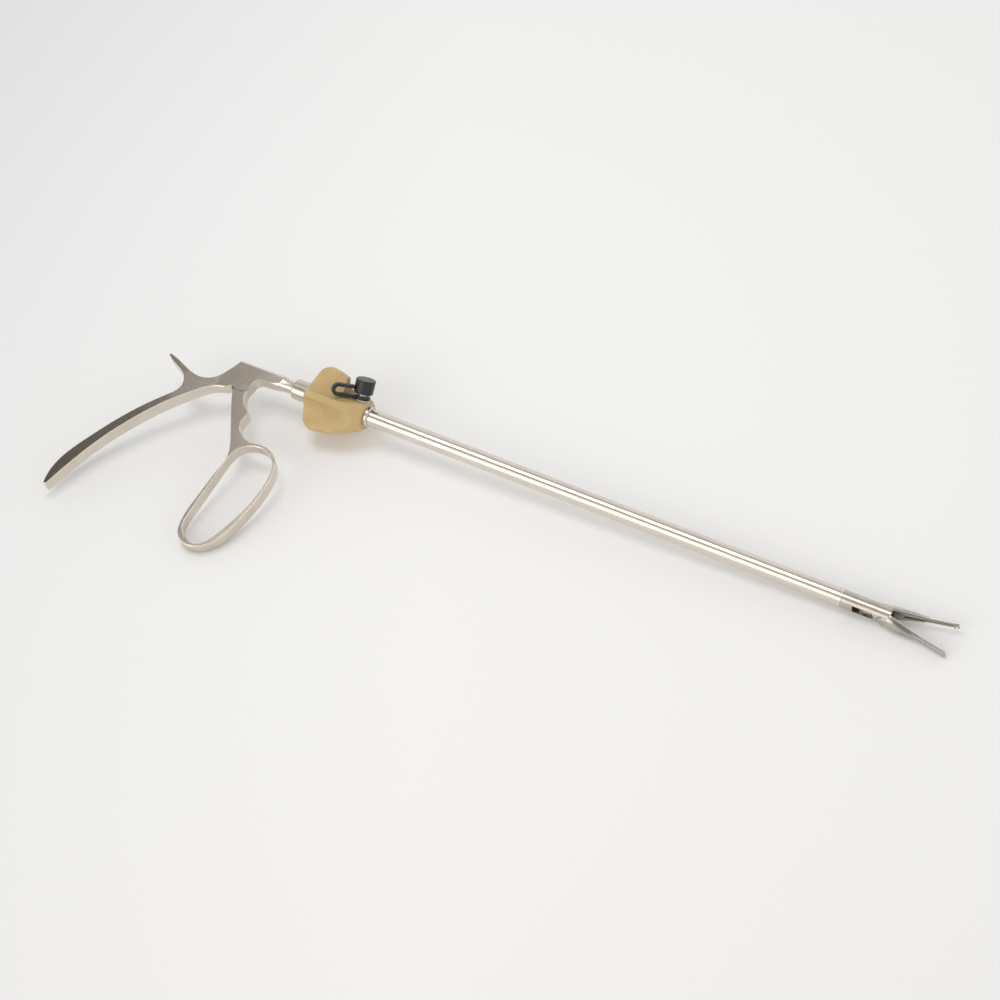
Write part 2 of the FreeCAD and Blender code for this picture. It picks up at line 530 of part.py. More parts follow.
closed_jaw = jaw_shape()
upper = closed_jaw.copy()
upper.Placement = Placement(jaw_pivot, Rotation(Vector(0, 0, 1), size("jaw_open")))
solid_piece("upper_jaw", upper)
lower = closed_jaw.copy()
lower.Placement = Placement(jaw_pivot, Rotation(Vector(0, 0, 1), -size("jaw_open"))).multiply(
    Placement(Vector(0, 0, 0), Rotation(Vector(1, 0, 0), 180)))
solid_piece("lower_jaw", lower)

# Drive rod: ball end, rod, spring seat, spring, bladed tip and the pin in the jaws' cams.
derived("rod_back", "%.6f" % (ball_x + size("ball_rad") - 0.5))
turned("push_rod", [("rod_back", "zero"), ("rod_back", "rod_neck_rad"), ("seat_at", "rod_neck_rad"),
                    ("seat_at", "rod_rad"), ("rod_front", "rod_rad"), ("rod_front", "zero")])
ball = Part.makeSphere(size("ball_rad"), Vector(ball_x, 0, 0))
solid_piece("rod_ball", ball.cut(bar(size("rod_neck_rad"), size("rod_back"), size("seat_at"))))
derived("seat_front", "=seat_at + seat_length")
turned("spring_seat", [("seat_at", "rod_rad"), ("seat_at", "seat_rad"), ("seat_front", "seat_rad"),
                       ("seat_front", "rod_rad")])
wire_rad, turns = size("wire_rad"), size("spring_turns")
spring_length = size("spring_stop") - size("seat_front") - 2 * wire_rad
helix = Part.makeHelix(spring_length / turns, spring_length, size("spring_rad"))
start = polygon([(size("spring_rad") + x, 0, z) for x, z in (
    (wire_rad, wire_rad), (-wire_rad, wire_rad), (-wire_rad, -wire_rad), (wire_rad, -wire_rad))])
spring = Part.Wire(helix).makePipeShell([start], True, True)
spring.Placement = Placement(Vector(size("seat_front") + wire_rad, 0, 0), Rotation(Vector(0, 0, 1), Vector(1, 0, 0)))
solid_piece("return_spring", spring)
blade_half, blade_high = size("blade_half"), size("blade_height") / 2
rod_tip = bar(size("tip_sleeve_rad"), size("tip_back"), size("tip_sleeve_end"))
rod_tip = rod_tip.fuse(Part.makeBox(drive_pin_x - size("tip_sleeve_end") + 1, 2 * blade_high, 2 * blade_half,
                                    Vector(size("tip_sleeve_end") - 1, -blade_high, -blade_half)))
rod_tip = rod_tip.fuse(Part.makeCylinder(blade_high, 2 * blade_half, Vector(drive_pin_x, 0, -blade_half)))
rod_tip = rod_tip.cut([bar(size("rod_rad"), size("tip_back") - 1, size("rod_front")),
                       Part.makeCylinder(size("drive_pin_rad"), 4, Vector(drive_pin_x, 0, -2))])
solid_piece("rod_tip", rod_tip)
derived("drive_high", "=jaw_slot_half - 0.2")
derived("drive_low", "=-drive_high")
turned("drive_pin", [("drive_low", "zero"), ("drive_low", "drive_pin_rad"),
                     ("drive_high", "drive_pin_rad"), ("drive_high", "zero")],
       Placement(Vector(drive_pin_x, 0, 0), Rotation(Vector(1, 0, 0), Vector(0, 0, 1))))

# Flush port: a luer fitting in the scoop, with its cap and the strap that tethers it.
derived("lug_top", "=luer_top - 0.3")
derived("lug_low", "=lug_top - lug_thick")
port = turned_body("flush_port", [
    ("tube_rad", "port_bore_rad"), ("tube_rad", "port_shank_rad"), ("well_floor", "port_shank_rad"),
    ("well_floor", "port_flange_rad"), ("port_flange_top", "port_flange_rad"),
    ("port_flange_top", "port_neck_rad"), ("luer_from", "port_neck_rad"), ("luer_from", "luer_rad"),
    ("lug_low", "luer_rad"), ("lug_low", "lug_rad"), ("lug_top", "lug_rad"), ("lug_top", "luer_rad"),
    ("luer_top", "luer_rad"), ("luer_top", "luer_bore_rad"), ("luer_bore_from", "luer_bore_rad"),
    ("luer_bore_from", "port_bore_rad")])
port.Placement = Placement(port_foot, Rotation(Vector(1, 0, 0), port_axis))
flats = []
for i, sign in enumerate((1, -1)):
    flat = doc.addObject("Part::Box", "lug_flat_%d" % (i + 1))
    flat.Length, flat.Width, flat.Height = size("luer_top"), 4, 12
    low = size("luer_rad") + 0.15 if sign > 0 else -size("luer_rad") - 4.15
    flat.Placement = Placement(port_foot, Rotation(Vector(1, 0, 0), port_axis)).multiply(
        Placement(Vector(size("lug_low") - 0.01, low, -6), Rotation()))
    flats.append(flat)
cut(port, flats, "flush_port")
port_frame = Placement(port_foot, Rotation(Vector(1, 0, 0), port_axis))
derived("cap_top_in", "=cap_top - 0.4")
derived("cap_rim_rad", "=cap_rad - 0.4")
turned("port_cap", [
    ("cap_from", "cap_cavity_rad"), ("cap_from", "cap_foot_rad"), ("cap_top_in", "cap_rad"),
    ("cap_top", "cap_rim_rad"), ("cap_top", "zero"), ("plug_from", "zero"), ("plug_from", "plug_rad"),
    ("cap_roof", "plug_rad"), ("cap_roof", "cap_cavity_rad")], port_frame)


def strap_shape():
    """A ring under the port's lugs and a flat band that loops back over itself to the cap."""
    low = size("port_flange_top")
    thick, width = size("strap_thick"), size("strap_width")
    ring_part = Part.makeCylinder(size("strap_ring_rad"), thick, Vector(0, 0, low)).cut(
        Part.makeCylinder(size("strap_ring_hole"), 2 * thick, Vector(0, 0, low - 1)))
    reach = size("strap_reach")
    low_mid = low + thick / 2
    bend = size("strap_rise") / 2
    high_mid = low_mid + 2 * bend
    begin, turn_at = size("strap_ring_rad") - 1, reach - bend
    path = wire([
        line((begin, low_mid), (turn_at, low_mid)),
        arc((turn_at, low_mid), (reach, low_mid + bend), (turn_at, high_mid)),
        line((turn_at, high_mid), (size("cap_rad") + size("strap_gap"), high_mid))])
    section = polygon([(begin, low, -width / 2), (begin, low + thick, -width / 2),
                       (begin, low + thick, width / 2), (begin, low, width / 2)])
    band = path.makePipeShell([section], True, False)
    band.Placement = Placement(Vector(0, 0, 0), Rotation(Vector(1, 0, 0), 90))
    shape = ring_part.fuse(band)
    side = Vector(-math.cos(math.radians(size("strap_turn"))), 0, 0)
    across = Vector(1, 0, 0).cross(port_axis) * math.sin(math.radians(size("strap_turn")))
    out = side + across
    frame = Rotation(out, port_axis.cross(out), port_axis, "XYZ")
    shape.Placement = Placement(port_foot, frame)
    return shape


solid_piece("cap_strap", strap_shape())

doc.recompute()
for piece in doc.Objects:
    if "Invalid" in piece.State or "Error" in piece.State:
        raise RuntimeError("%s did not build: %s" % (piece.Name, piece.State))
for piece in nodes:
    if piece.Shape.isNull() or not piece.Shape.isValid():
        raise RuntimeError("%s has no valid shape" % piece.Label)
for piece in nodes:
    piece.Shape.exportStep("parts/%s.step" % piece.Label)
print(len(nodes), "parts", "rod travel %.3f ball x %.3f pin x %.3f" % (rod_travel, ball_x, drive_pin_x))
for piece in nodes:
    box = piece.Shape.BoundBox
    print("%-18s solids %d volume %9.2f  x %.1f %.1f  y %.1f %.1f  z %.1f %.1f" % (
        piece.Label, len(piece.Shape.Solids), piece.Shape.Volume, box.XMin, box.XMax,
        box.YMin, box.YMax, box.ZMin, box.ZMax))
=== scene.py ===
import bpy
import bmesh
import json
import numpy as np
from mathutils import Matrix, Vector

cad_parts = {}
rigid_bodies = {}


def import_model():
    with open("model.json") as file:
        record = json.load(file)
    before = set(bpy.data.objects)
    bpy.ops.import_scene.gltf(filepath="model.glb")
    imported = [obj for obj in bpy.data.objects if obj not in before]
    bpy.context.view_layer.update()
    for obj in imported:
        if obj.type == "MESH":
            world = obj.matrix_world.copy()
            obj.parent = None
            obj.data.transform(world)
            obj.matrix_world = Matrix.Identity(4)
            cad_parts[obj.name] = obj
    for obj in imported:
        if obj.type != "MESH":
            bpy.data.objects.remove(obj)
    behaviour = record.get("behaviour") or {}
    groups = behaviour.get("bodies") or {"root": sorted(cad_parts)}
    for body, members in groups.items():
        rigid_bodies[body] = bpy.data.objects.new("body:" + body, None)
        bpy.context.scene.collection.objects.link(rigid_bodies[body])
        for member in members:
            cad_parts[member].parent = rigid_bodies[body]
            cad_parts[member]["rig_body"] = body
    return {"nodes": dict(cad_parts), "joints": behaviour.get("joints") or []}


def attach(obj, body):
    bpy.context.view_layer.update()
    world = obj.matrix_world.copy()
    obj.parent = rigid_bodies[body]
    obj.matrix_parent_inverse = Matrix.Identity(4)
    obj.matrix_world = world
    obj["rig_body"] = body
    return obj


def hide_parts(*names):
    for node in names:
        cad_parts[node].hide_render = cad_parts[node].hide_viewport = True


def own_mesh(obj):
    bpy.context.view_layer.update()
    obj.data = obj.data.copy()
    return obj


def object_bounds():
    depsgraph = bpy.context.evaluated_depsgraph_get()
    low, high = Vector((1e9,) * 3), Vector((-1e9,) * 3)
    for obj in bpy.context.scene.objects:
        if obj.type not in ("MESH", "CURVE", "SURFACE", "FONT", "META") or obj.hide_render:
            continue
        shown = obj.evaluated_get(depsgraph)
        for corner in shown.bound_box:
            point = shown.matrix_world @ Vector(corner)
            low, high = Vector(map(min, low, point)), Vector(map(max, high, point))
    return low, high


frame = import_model()
cad_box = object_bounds()

# The instrument lies on a table. Its own axes are X along the shaft towards the jaws, Y towards
# the thumb spur and Z out of the handle's face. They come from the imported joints.
joints = {joint["name"]: joint for joint in frame["joints"]}
shaft_line = np.array(joints["shaft_turn"]["axis"], float)
face_line = np.array(joints["trigger_squeeze"]["axis"], float)
AXES = np.array([shaft_line, np.cross(face_line, shaft_line), face_line])
MM_PER_M = 1000


def laid(points):
    """Points in mm on the instrument's axes, as points in metres in the frame: p times the axes."""
    return np.asarray(points, float) @ AXES / MM_PER_M


# Satin steel is what the forged handle and the trigger are finished in: stainless, milled,
# glass-bead blasted and then brushed by hand, so light spreads in a soft sheen and fine
# scratches about 0.2 mm apart run one way.
def linear(text):
    """sRGB hex to linear: c / 12.92 up to 0.04045, above it ((c + 0.055) / 1.055) ** 2.4."""
    c = np.array([int(text[i:i + 2], 16) for i in (1, 3, 5)]) / 255
    value = np.where(c <= 0.04045, c / 12.92, ((c + 0.055) / 1.055) ** 2.4)
    return (*value.tolist(), 1.0)


def add(tree, kind, settings=(), links=()):
    """A node of this kind. Settings are its attributes or its inputs' values, and links join
    another node's outputs to its inputs."""
    node = tree.nodes.new("ShaderNode" + kind)
    for key, value in dict(settings).items():
        if isinstance(key, int) or key in node.inputs:
            node.inputs[key].default_value = value
        else:
            setattr(node, key, value)
    for key, output in dict(links).items():
        tree.links.new(output, node.inputs[key])
    return node


def material(name):
    """A new node material, its tree and its Principled shader."""
    made = bpy.data.materials.new(name)
    made.use_nodes = True
    return made, made.node_tree, made.node_tree.nodes["Principled BSDF"]


def shades(tree, factor, stops):
    """A colour ramp through (place, hex) stops, driven by a pattern's factor."""
    ramp = add(tree, "ValToRGB", {}, {0: factor})
    while len(ramp.color_ramp.elements) < len(stops):
        ramp.color_ramp.elements.new(0.5)
    for element, (place, text) in zip(ramp.color_ramp.elements, stops):
        element.position = place
        element.color = linear(text)
    return ramp.outputs[0]


def grained(tree, shader, grain, span, rough, bump_share, bump_m, edge_mm):
    """Roughness that runs from rough[0] to rough[1] while the grain runs over span, and a bump
    from the grain on edges softened by edge_mm."""
    wear = add(tree, "MapRange", {"From Min": span[0], "From Max": span[1],
                                  "To Min": rough[0], "To Max": rough[1]}, {"Value": grain})
    tree.links.new(wear.outputs[0], shader.inputs["Roughness"])
    soft = add(tree, "Bevel", {"samples": 6, "Radius": edge_mm / MM_PER_M}).outputs[0]
    bump = add(tree, "Bump", {"Strength": bump_share, "Distance": bump_m},
               {"Height": grain, "Normal": soft})
    tree.links.new(bump.outputs[0], shader.inputs["Normal"])


def brushed(name, stops, rough, scratch, along, grain_mm, edge_mm, tint_mm=14):
    """Steel with a cloudy tint and a grain that is stretched along the axis where along is low."""
    made, tree, shader = material(name)
    place = add(tree, "TexCoord").outputs["Object"]
    turn = Matrix(AXES.tolist()).to_euler()
    own = add(tree, "Mapping", {"Rotation": turn}, {"Vector": place}).outputs[0]
    pull = add(tree, "Mapping", {"Scale": along}, {"Vector": own}).outputs[0]
    cloud = add(tree, "TexNoise", {"Scale": MM_PER_M / tint_mm, "Detail": 3.0},
                {"Vector": own}).outputs[0]
    grain = add(tree, "TexNoise", {"Scale": MM_PER_M / grain_mm, "Detail": 4.0, "Roughness": 0.6},
                {"Vector": pull}).outputs[0]
    grain_share = 0.45
    both = add(tree, "Math", {"operation": "MULTIPLY_ADD", 1: grain_share}, {0: grain, 2: cloud})
    tree.links.new(shades(tree, both.outputs[0], stops), shader.inputs["Base Color"])
    grained(tree, shader, grain, (0.3, 0.7), rough, scratch, 0.00006, edge_mm)
    shader.inputs["Metallic"].default_value = 1.0
    return made


satin_steel = brushed("satin_stainless_steel",
                      [(0.35, "#D1C8BC"), (0.75, "#DCD3C7"), (1.0, "#E3DACF")],
                      rough=(0.17, 0.24), scratch=0.12, along=(0.2, 1.0, 1.0),
                      grain_mm=0.16, edge_mm=0.22)


# Handle: palm arm, thumb spur, hub and neck in one stainless forging, milled flat on its two
# faces and blended by hand at the edges. The trigger's tongue enters its slot from below.
def placed(name, data):
    """An object that holds this data, at the origin and unturned, in the scene."""
    made = bpy.data.objects.new(name, data)
    bpy.context.scene.collection.objects.link(made)
    return made


def joined(mesh, turn_out=False):
    """Corners that meet become one, faces without area go, and faces can be turned outwards."""
    same_point, no_length = 0.000002, 0.000001
    work = bmesh.new()
    work.from_mesh(mesh)
    bmesh.ops.remove_doubles(work, verts=work.verts, dist=same_point)
    bmesh.ops.dissolve_degenerate(work, edges=work.edges, dist=no_length)
    if turn_out:
        bmesh.ops.recalc_face_normals(work, faces=work.faces)
    work.to_mesh(mesh)
    work.free()


def finished(piece, finish, crease):
    """One finish, smooth shading, and sharp edges where faces turn by more than crease degrees."""
    mesh = piece.data
    mesh.materials.clear()
    mesh.materials.append(finish)
    mesh.polygons.foreach_set("material_index", np.zeros(len(mesh.polygons), np.int32))
    mesh.polygons.foreach_set("use_smooth", np.ones(len(mesh.polygons), bool))
    mesh.set_sharp_from_angle(angle=np.radians(crease))
    mesh.update()


def smooth_copy(node, finish, crease=32):
    """A CAD node's triangles as a new mesh with joined corners, so that curved faces shade
    smoothly. It takes the node's place and rides its body."""
    source = frame["nodes"][node]
    corners = np.zeros(len(source.data.vertices) * 3)
    source.data.vertices.foreach_get("co", corners)
    triangles = np.zeros(len(source.data.loops), np.int32)
    source.data.loops.foreach_get("vertex_index", triangles)
    mesh = bpy.data.meshes.new(node + "_shown")
    mesh.from_pydata(corners.reshape(-1, 3).tolist(), [], triangles.reshape(-1, 3).tolist())
    copy = placed(node + "_shown", mesh)
    joined(mesh)
    finished(copy, finish, crease)
    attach(copy, source["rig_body"])
    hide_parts(node)
    return copy


handle = smooth_copy("handle_body", satin_steel)

# Trigger pivot pin: a riveted stainless pin, its ends filed flush with the hub's two cheeks, so
# that only a fine ring shows.
pin_steel = brushed("filed_stainless_steel",
                    [(0.35, "#BDB4A8"), (0.75, "#CBC2B7"), (1.0, "#D5CCC1")],
                    rough=(0.18, 0.26), scratch=0.2, along=(1.0, 1.0, 1.0),
                    grain_mm=0.3, edge_mm=0.1)
smooth_copy("trigger_pivot_pin", pin_steel)

# Trigger: a flat stainless lever with two finger rests, a closed finger loop, and a slotted
# tongue that works the rod inside the hub. Cut from plate, blended and brushed along its length.
smooth_copy("trigger_lever", satin_steel)


# Collar: turned stainless, a press fit on the neck, and what the knob's bearing turns against.
# Its two outer edges are broken with a fine turned chamfer.
def rounded(profile, radius, steps=5, closed=True):
    """Each corner p becomes the curve (1-t)^2 a + 2t(1-t) p + t^2 c between points a and c that
    lie a radius away. One more point on the straight beyond each keeps the shading there flat."""
    most_of_side, beyond = 0.3, 1.4
    p = np.asarray(profile, float)
    before, after = np.roll(p, 1, 0), np.roll(p, -1, 0)
    back, on = before - p, after - p
    long_back = np.linalg.norm(back, axis=1)[:, None]
    long_on = np.linalg.norm(on, axis=1)[:, None]
    reach = np.minimum(radius, most_of_side * np.minimum(long_back, long_on))
    if not closed:
        reach[[0, -1]] = 0
    a, c = p + back / long_back * reach, p + on / long_on * reach
    outer = [p + back / long_back * reach * beyond, p + on / long_on * reach * beyond]
    t = np.linspace(0, 1, steps)[None, :, None]
    curve = (1 - t) ** 2 * a[:, None] + 2 * t * (1 - t) * p[:, None] + t ** 2 * c[:, None]
    return np.concatenate([outer[0][:, None], curve, outer[1][:, None]], 1).reshape(-1, 2)


def skin(name, grid, body, finish, closed_rows=False, crease=32):
    """A piece from a grid of points in mm. Each point joins its neighbours in quads. The last
    column joins the first, and the last row the first where closed_rows says so."""
    rows, columns = grid.shape[:2]
    index = np.arange(rows * columns).reshape(rows, columns)
    if closed_rows:
        index = np.vstack([index, index[:1]])
    index = np.hstack([index, index[:, :1]])
    quads = np.stack([index[:-1, :-1], index[:-1, 1:], index[1:, 1:], index[1:, :-1]], -1)
    mesh = bpy.data.meshes.new(name)
    mesh.from_pydata(laid(grid.reshape(-1, 3)).tolist(), [], quads.reshape(-1, 4).tolist())
    joined(mesh, turn_out=True)
    piece = placed(name, mesh)
    finished(piece, finish, crease)
    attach(piece, body)
    return piece


def lathe(profile, columns=144):
    """A profile of (along, radius) turned about X: (along, radius sin a, radius cos a)."""
    p = np.asarray(profile, float)
    a = np.linspace(0, 2 * np.pi, columns, endpoint=False)
    grid = np.empty((len(p), columns, 3))
    grid[..., 0] = p[:, :1]
    grid[..., 1] = p[:, 1:] * np.sin(a)
    grid[..., 2] = p[:, 1:] * np.cos(a)
    return grid


turned_steel = brushed("turned_stainless_steel",
                       [(0.35, "#BDB5AA"), (0.75, "#D3CBC0"), (1.0, "#DDD6CC")],
                       rough=(0.16, 0.24), scratch=0.22, along=(1.0, 0.1, 0.1),
                       grain_mm=0.25, edge_mm=0.12)
collar_profile = rounded([(-51.7, 3.95), (-51.7, 5.3), (-50.9, 6), (-41.5, 6), (-41.3, 5.8),
                          (-41.3, 3.95)], radius=0.25)
collar = skin("collar_shown", lathe(collar_profile), "handle", turned_steel,
              closed_rows=True)
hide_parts("collar")


# Bearing sleeve, gland washer, rod guide, snap ring, return spring and rod seal: hidden inside.
# The sleeve, washer and guide are machined from natural PEEK, which is creamy and faintly
# glossy. The seal is rubber, and the ring and the spring are drawn spring steel.
def moulded(name, stops, rough, bump_share, grain_mm, spot_mm, edge_mm):
    """Plastic or rubber: a cloudy colour from coarse noise and a fine grain in its surface."""
    made, tree, shader = material(name)
    place = add(tree, "TexCoord").outputs["Object"]
    cloud = add(tree, "TexNoise", {"Scale": MM_PER_M / spot_mm, "Detail": 4.0},
                {"Vector": place}).outputs[0]
    grain = add(tree, "TexNoise", {"Scale": MM_PER_M / grain_mm, "Detail": 2.0},
                {"Vector": place}).outputs[0]
    tree.links.new(shades(tree, cloud, stops), shader.inputs["Base Color"])
    grained(tree, shader, grain, (0.35, 0.65), rough, bump_share, 0.00005, edge_mm)
    return made


peek = moulded("natural_peek", [(0.35, "#C9BC9E"), (0.65, "#D3C7AA")], rough=(0.38, 0.46),
               bump_share=0.2, grain_mm=0.4, spot_mm=8, edge_mm=0.1)
smooth_copy("bearing_sleeve", peek)
smooth_copy("gland_washer", peek)
smooth_copy("rod_guide", peek)
spring_steel = brushed("drawn_spring_steel",
                       [(0.35, "#8F9093"), (0.75, "#A6A7AA"), (1.0, "#B4B5B7")],
                       rough=(0.2, 0.3), scratch=0.2, along=(1.0, 1.0, 1.0),
                       grain_mm=0.3, edge_mm=0.05)
smooth_copy("retaining_ring", spring_steel)
# The squeezed trigger pushes the rod 3.168 mm forwards, and the rod's seat presses the spring
# by that much against its front stop. Here the spring only gets a mesh of its own.
spring = smooth_copy("return_spring", spring_steel)
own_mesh(spring)
rubber = moulded("black_silicone_rubber", [(0.35, "#1B1B1C"), (0.65, "#242425")],
                 rough=(0.24, 0.34), bump_share=0.3, grain_mm=0.35, spot_mm=5, edge_mm=0.35)
smooth_copy("rod_seal", rubber)

# Knob core: the turned steel sleeve that joins knob, port and tube. Only its ends show, as thin
# rings at the two ends of the knob.
smooth_copy("knob_core", turned_steel)

# Front ferrule: the bright turned ring at the knob's nose, where the tube goes in. Its front
# edge is chamfered.
ferrule_profile = rounded([(-2.5, 4.75), (-2.5, 6.1), (-0.6, 6.1), (0, 5.5), (0, 4.75)], radius=0.3)
ferrule = skin("front_ferrule_shown", lathe(ferrule_profile), "shaft", turned_steel,
               closed_rows=True)
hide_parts("front_ferrule")

# Rotation knob: one moulding in tan polyphenylsulfone, which stands up to the steriliser. Five
# fins stand between five long flutes, and a round well is sunk into one fin for the port, which
# stands at this place along the shaft and this angle round it.
PORT_X, PORT_DEGREES = -8.5, 47.7


def arc(a, b, c, count):
    """Points along the circle through three points: its centre is where the chords' bisectors
    cross."""
    a, b, c = (np.asarray(p, float) for p in (a, b, c))
    ab, ac = b - a, c - a
    turn = 2 * (ab[0] * ac[1] - ab[1] * ac[0])
    center = a + np.array([ac[1] * (ab @ ab) - ab[1] * (ac @ ac),
                           ab[0] * (ac @ ac) - ac[0] * (ab @ ab)]) / turn
    begin, middle, end = (np.arctan2(*(p - center)[::-1]) for p in (a, b, c))
    middle, end = (begin + (v - begin + np.pi) % (2 * np.pi) - np.pi for v in (middle, end))
    if (end - begin) * (middle - begin) < 0 or abs(end - begin) < abs(middle - begin):
        end += 2 * np.pi * np.sign(middle - begin)
    angle = np.linspace(begin, end, count)
    return center + np.linalg.norm(a - center) * np.stack([np.cos(angle), np.sin(angle)], 1)


def soft_minimum(a, b, blend):
    """The smaller of two radii, with a rounded change from one to the other:
    (a + b - sqrt((a - b)^2 + blend)) / 2."""
    return 0.5 * (a + b - np.sqrt((a - b) ** 2 + blend))


def knob_surface():
    """Radius at each (angle, place along the profile): the soft minimum of the turned profile and
    the flutes' circles, D cos d - sqrt(f^2 - D^2 sin^2 d), stepped down to the well's floor
    inside the well's round wall."""
    back, nose, bore, fins, ridge_degrees = -40.5, -2.5, 6.5, 5, -24.3
    flute_at, flute, well, floor = 21.8, 10.9, 10.9, 7.6
    rim, heel, crown = (back, 7), (-38.3, 13.4), (-30.5, 19.75)
    face_rows = 3
    lead = np.vstack([np.linspace((back, bore), rim, face_rows + 1)[:-1],
                      np.linspace(rim, heel, 16)[:-1],
                      arc(heel, (-35.6, 17.85), crown, 30)[:-1],
                      arc(crown, (-17, 16.5), (nose, 7.9), 90)])
    # Round the knob, each fifth is one flute's columns and then one fin's.
    beta = np.linspace(-np.pi / 3, np.pi / 3, 78)
    hollow = np.arctan2(flute * np.sin(beta), flute_at - flute * np.cos(beta))
    crest = np.radians(np.linspace(30.5, 41.5, 16))
    sector = np.concatenate([hollow, crest])
    first_flute = ridge_degrees + 180 / fins
    sectors = np.radians(first_flute + 360 / fins * np.arange(fins))[:, None] + sector[None, :]
    theta = sectors.reshape(-1)
    from_flute = np.where(np.arange(len(sector)) < len(hollow), sector, np.pi / 2)
    from_flute = np.tile(from_flute, fins)
    flute_edge, no_groove, no_floor = np.radians(30.2), 60.0, 99.0
    root = np.sqrt(np.maximum(flute ** 2 - (flute_at * np.sin(from_flute)) ** 2, 0))
    groove = np.where(np.abs(from_flute) < flute_edge, flute_at * np.cos(from_flute) - root,
                      no_groove)

    def turned(s):
        """The profile and the flutes together, at places s along the profile, as (x, r)."""
        x = np.interp(s, np.arange(len(lead)), lead[:, 0])
        r = np.interp(s, np.arange(len(lead)), lead[:, 1])
        return x, soft_minimum(r, groove[None, :], blend=0.25)

    def wall_x(radius):
        """Where the well's wall stands along the shaft, at this radius:
        PORT_X - sqrt(well^2 - (radius sin off)^2)."""
        aside = np.where(np.abs(off) < np.pi / 2, radius * np.sin(off), well)
        return PORT_X - np.sqrt(np.maximum(well ** 2 - aside ** 2, 0))

    # Find where each column meets the well's wall.
    spot = np.linspace(0, len(lead) - 1, 900)[:, None] * np.ones((1, len(theta)))
    x, r = turned(spot)
    off = (theta - np.radians(PORT_DEGREES) + np.pi) % (2 * np.pi) - np.pi
    past = x > wall_x(r)
    past[-1] = True
    meet = np.take_along_axis(spot, np.argmax(past, axis=0)[None, :], 0)
    # Behind the wall, down the wall, and from its foot to the nose.
    widest_off, least_cosine = 1.35, 0.2
    down = np.where(np.abs(off) < widest_off, floor / np.maximum(np.cos(off), least_cosine),
                    no_floor)
    before_x, before_r = turned(np.linspace(0, 1, 92)[:, None] ** 0.9 * meet)
    top_x, top_r = before_x[-1], before_r[-1]
    low_r = np.minimum(top_r, down)
    wall_r = top_r + (low_r - top_r) * np.linspace(0, 1, 18)[1:, None]
    wall_at = top_x + (wall_x(wall_r) - wall_x(top_r)) * (low_r < top_r)
    foot_x = wall_at[-1]
    after_x = foot_x + (nose - foot_x) * np.linspace(0, 1, 56)[1:, None]
    after_s = np.interp(after_x.reshape(-1), lead[face_rows:, 0], np.arange(face_rows, len(lead)))
    after_r = soft_minimum(turned(after_s.reshape(after_x.shape))[1], down, blend=0.04)
    xs = np.vstack([before_x, wall_at, after_x, np.full((1, len(theta)), nose)])
    rs = np.vstack([before_r, wall_r, after_r, np.full((1, len(theta)), bore)])
    grid = np.stack([xs, rs * np.sin(theta), rs * np.cos(theta)], -1)
    # Each point moves a quarter of the way to its neighbours' middles, five times, which rounds
    # the fins' and the well's edges.
    for _ in range(5):
        along = (grid[2:] + grid[:-2]) / 2
        around = (np.roll(grid, 1, 1) + np.roll(grid, -1, 1))[1:-1] / 2
        grid[1:-1] += 0.25 * (along + around - 2 * grid[1:-1])
    return grid


tan_plastic = moulded("moulded_polyphenylsulfone",
                      [(0.3, "#C1A672"), (0.5, "#C6AB77"), (0.7, "#CBB07D")], rough=(0.42, 0.55),
                      bump_share=0.25, grain_mm=0.5, spot_mm=7, edge_mm=0.3)
knob = skin("rotation_knob_shown", knob_surface(), "shaft", tan_plastic,
            closed_rows=True, crease=70)
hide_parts("rotation_knob")

# Outer tube: 10 mm stainless tube, drawn and polished lengthways, so that the room shows in it
# as long bands with fine draw lines.
tube_steel = brushed("drawn_stainless_tube",
                     [(0.3, "#D7CEC3"), (0.7, "#DDD5CA"), (1.0, "#E1D9CE")],
                     rough=(0.13, 0.2), scratch=0.12, along=(0.02, 1.0, 1.0),
                     grain_mm=0.25, edge_mm=0.08, tint_mm=20)
tube_profile = rounded([(-12, 4.4), (-12, 4.75), (0, 4.75), (0, 5), (296, 5), (296, 4.4)],
                       radius=0.05, steps=3)
tube = skin("outer_tube_shown", lathe(tube_profile, 192), "shaft", tube_steel,
            closed_rows=True)
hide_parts("outer_tube")


# Fork, jaw pivot pin and jaws: hardened stainless, wire-cut and tumbled to a duller grey. The
# jaws' inner faces are milled with a channel for the clip's legs.
def tumbled(name, edge_mm):
    """The duller steel of the jaws' end."""
    return brushed(name, [(0.35, "#B4ADA4"), (0.75, "#C2BBB2"), (1.0, "#CBC4BB")],
                   rough=(0.2, 0.28), scratch=0.15, along=(0.3, 1.0, 1.0), grain_mm=0.2,
                   edge_mm=edge_mm, tint_mm=6)


jaw_steel = tumbled("tumbled_hard_stainless", edge_mm=0.12)
smooth_copy("tip_fork", jaw_steel)
smooth_copy("jaw_pivot_pin", jaw_steel)


